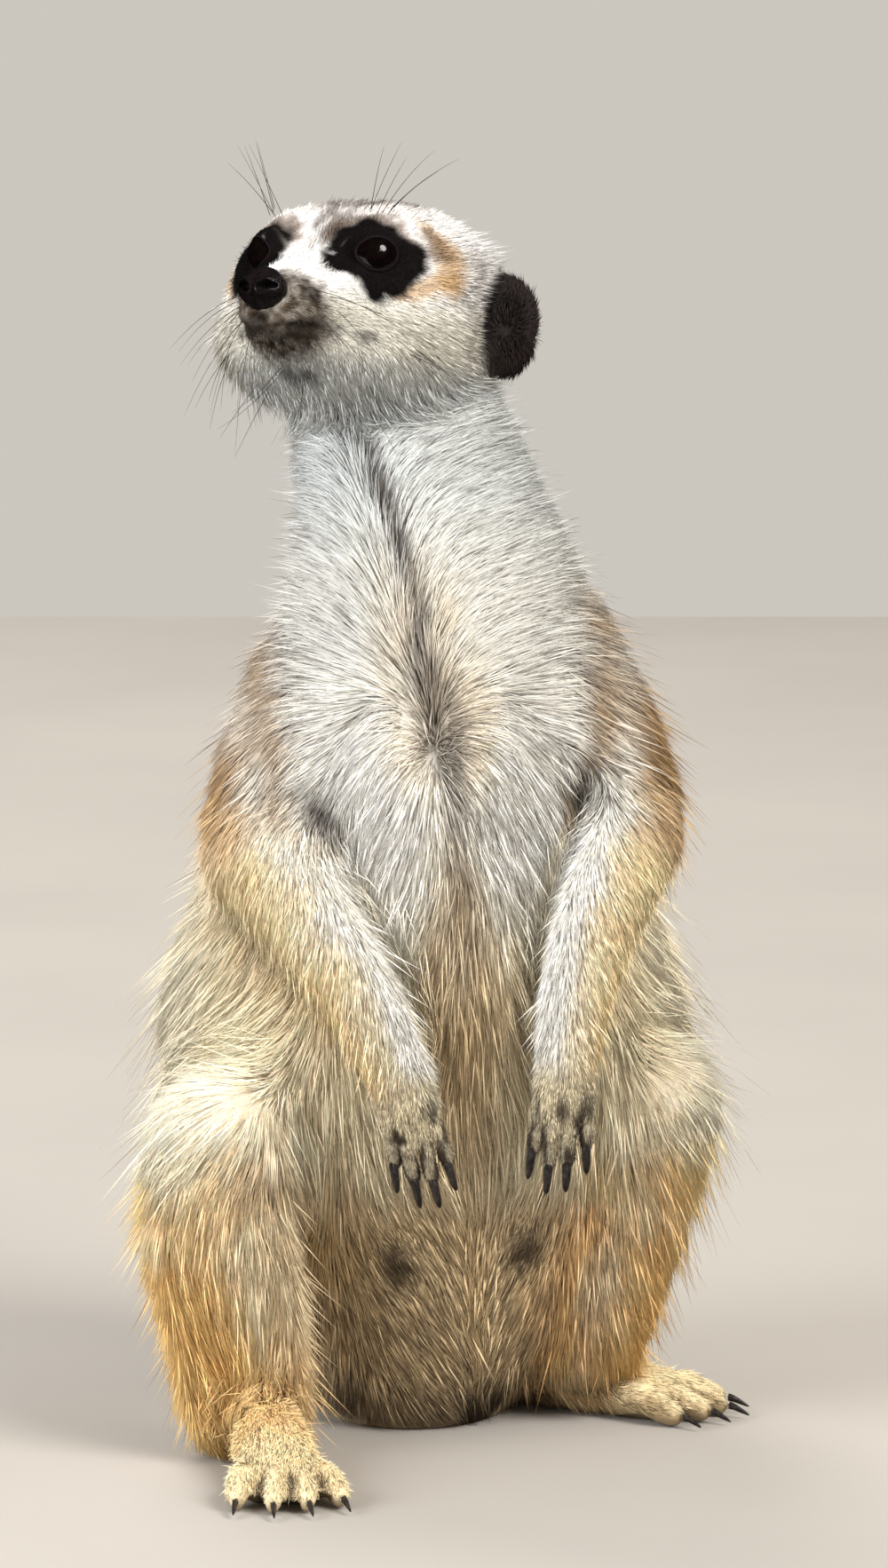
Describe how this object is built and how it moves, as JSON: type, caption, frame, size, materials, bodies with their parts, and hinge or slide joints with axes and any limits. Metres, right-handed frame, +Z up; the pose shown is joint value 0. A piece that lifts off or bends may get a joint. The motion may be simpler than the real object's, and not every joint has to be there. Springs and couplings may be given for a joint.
{
  "type": "meerkat figure",
  "caption": "Life-size meerkat sitting upright on its rump, forelegs hanging over the belly, head turned to its right, tail laid out straight behind.",
  "frame": {"origin": "on the floor, on the flat of the rump, straight below the chest", "axes": "+Z up, -Y the way the chest faces, +X to the animal's left, tail laid out along +Y"},
  "size_m": [0.1357, 0.3505, 0.2738],
  "materials": {
    "pale_coat": "matt, soft whitish grey fur",
    "sandy_coat": "matt, sandy to golden fur with grey underneath",
    "dark_coat": "matt, short black-brown fur",
    "nose_skin": "bare black skin, slightly moist",
    "eye_glass": "polished, near black",
    "claw_horn": "satin, near black horn"
  },
  "bodies": {
    "root": {"head": "pale_coat", "lower_jaw": "pale_coat", "nose": "nose_skin", "eye_left": "eye_glass", "eye_right": "eye_glass", "ear_left": "dark_coat", "ear_right": "dark_coat", "neck": "pale_coat", "chest": "pale_coat", "belly": "sandy_coat", "rump": "sandy_coat", "upper_arm_left": "sandy_coat", "forearm_left": "pale_coat", "forepaw_left": "pale_coat", "forepaw_left_claw_inner": "claw_horn", "forepaw_left_claw_second": "claw_horn", "forepaw_left_claw_third": "claw_horn", "forepaw_left_claw_outer": "claw_horn", "upper_arm_right": "sandy_coat", "forearm_right": "pale_coat", "forepaw_right": "pale_coat", "forepaw_right_claw_inner": "claw_horn", "forepaw_right_claw_second": "claw_horn", "forepaw_right_claw_third": "claw_horn", "forepaw_right_claw_outer": "claw_horn", "thigh_left": "sandy_coat", "shin_left": "sandy_coat", "hindfoot_left": "pale_coat", "hindfoot_left_claw_inner": "claw_horn", "hindfoot_left_claw_second": "claw_horn", "hindfoot_left_claw_third": "claw_horn", "hindfoot_left_claw_outer": "claw_horn", "thigh_right": "sandy_coat", "shin_right": "sandy_coat", "hindfoot_right": "pale_coat", "hindfoot_right_claw_inner": "claw_horn", "hindfoot_right_claw_second": "claw_horn", "hindfoot_right_claw_third": "claw_horn", "hindfoot_right_claw_outer": "claw_horn", "tail_root": "sandy_coat", "tail_middle": "sandy_coat", "tail_tip": "dark_coat"}
  },
  "joints": []
}
